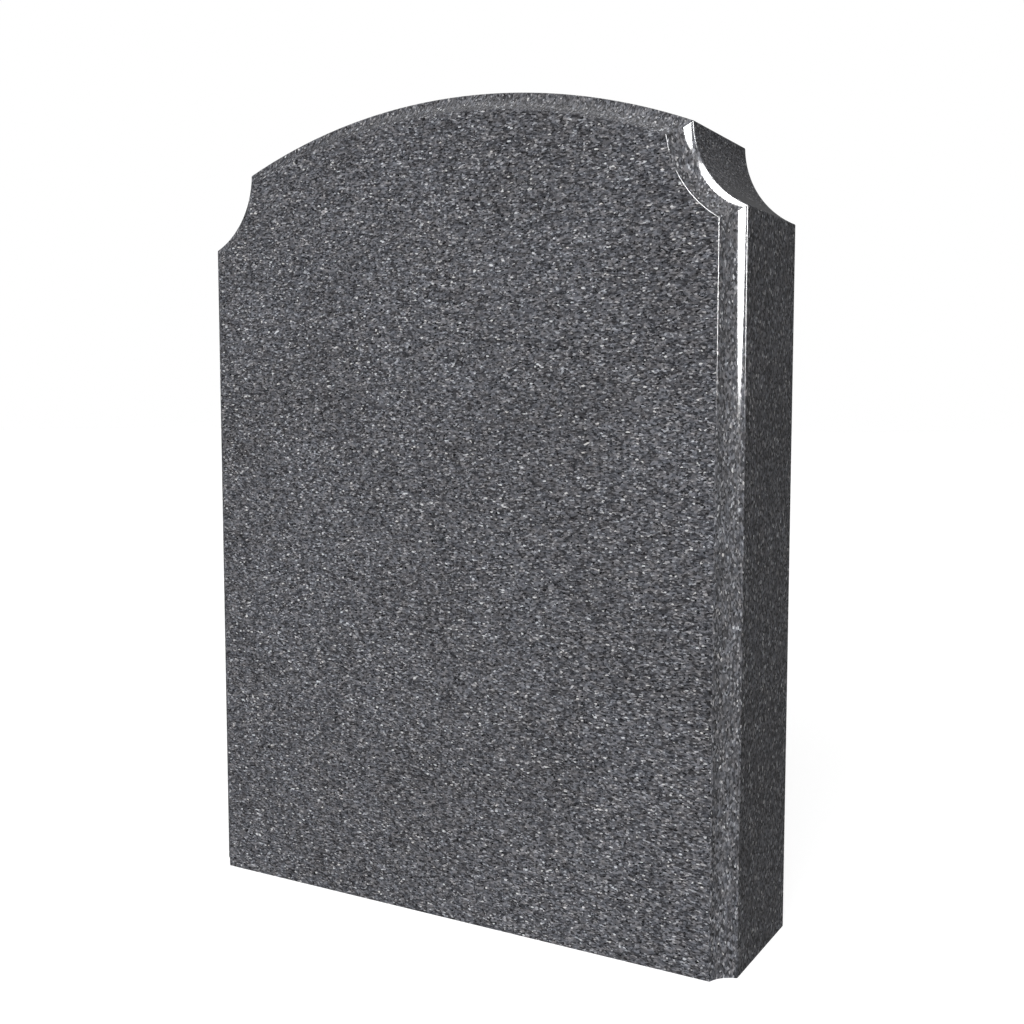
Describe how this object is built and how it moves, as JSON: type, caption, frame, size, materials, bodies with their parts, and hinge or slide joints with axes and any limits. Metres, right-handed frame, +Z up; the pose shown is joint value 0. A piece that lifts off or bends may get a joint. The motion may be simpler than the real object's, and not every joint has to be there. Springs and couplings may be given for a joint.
{
  "type": "granite headstone",
  "caption": "Upright polished granite headstone with an arched top, scooped shoulders and a coved front edge. Its bare face takes an inscription and it stands on its flat underside.",
  "frame": {"origin": "middle of the flat underside, at half the width and half the thickness", "axes": "+Z up to the crown of the arch, +X along the width, and the polished front with its moulding looks along -Y"},
  "size_m": [0.6096, 0.1524, 0.8128],
  "materials": {
    "granite": "polished dark grey granite with fine pale and near-black grains, sawn on the underside"
  },
  "bodies": {
    "root": {"tablet": "granite"}
  },
  "joints": []
}
